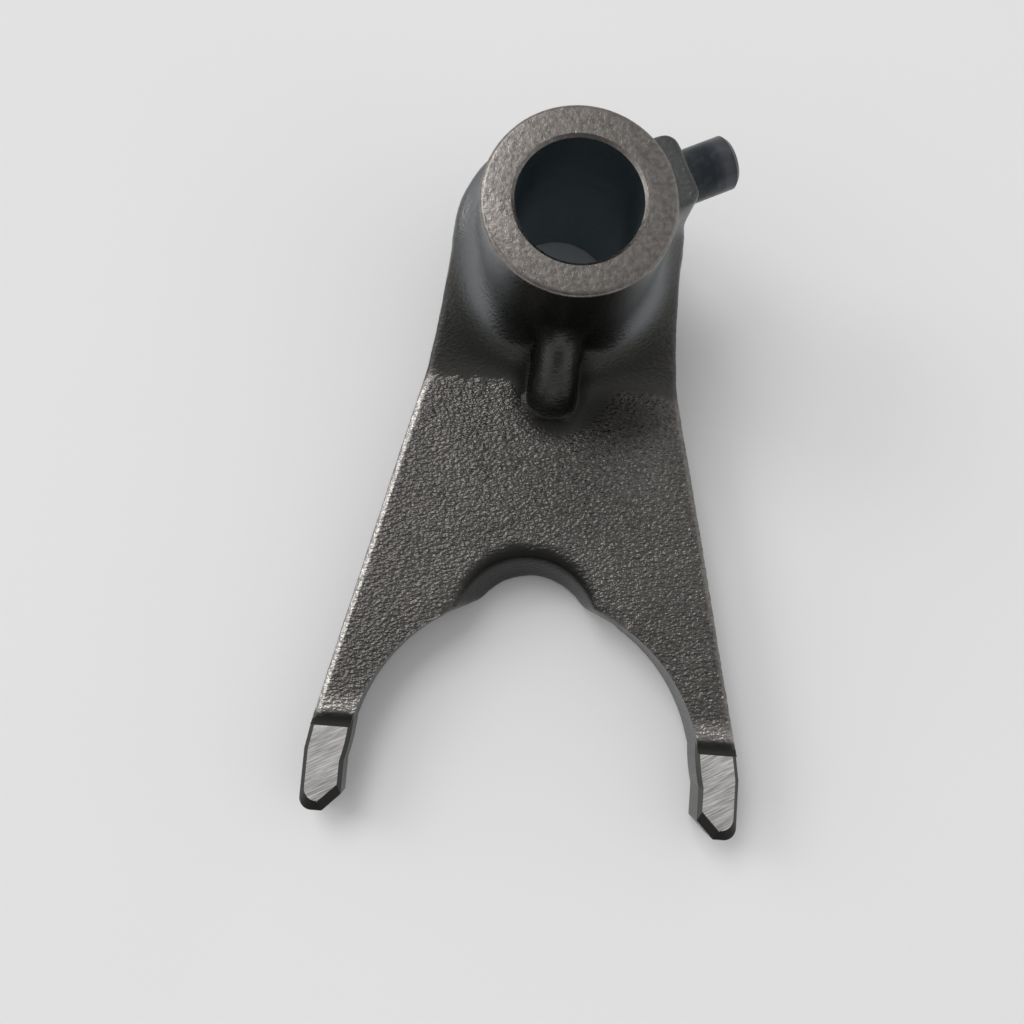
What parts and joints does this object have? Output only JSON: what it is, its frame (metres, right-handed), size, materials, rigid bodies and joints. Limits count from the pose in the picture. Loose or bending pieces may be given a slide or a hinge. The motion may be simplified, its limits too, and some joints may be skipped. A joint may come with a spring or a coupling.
{
  "type": "shift fork",
  "caption": "Cast steel gearbox shift fork with a bored hub, a side pin for the drum track and two ground claws round a turned arc.",
  "frame": {"origin": "on the bore axis, at the hub's lower end face", "axes": "+Z along the bore axis towards the hub's long end, -Y from the hub towards the claws, +X to the side of the pin"},
  "size_m": [0.0456, 0.071, 0.0254],
  "materials": {
    "cast_steel": "as-cast steel with a grained grey-brown skin, ground claw pads and a machined hub face"
  },
  "bodies": {
    "root": {"shift_fork": "cast_steel"}
  },
  "joints": []
}
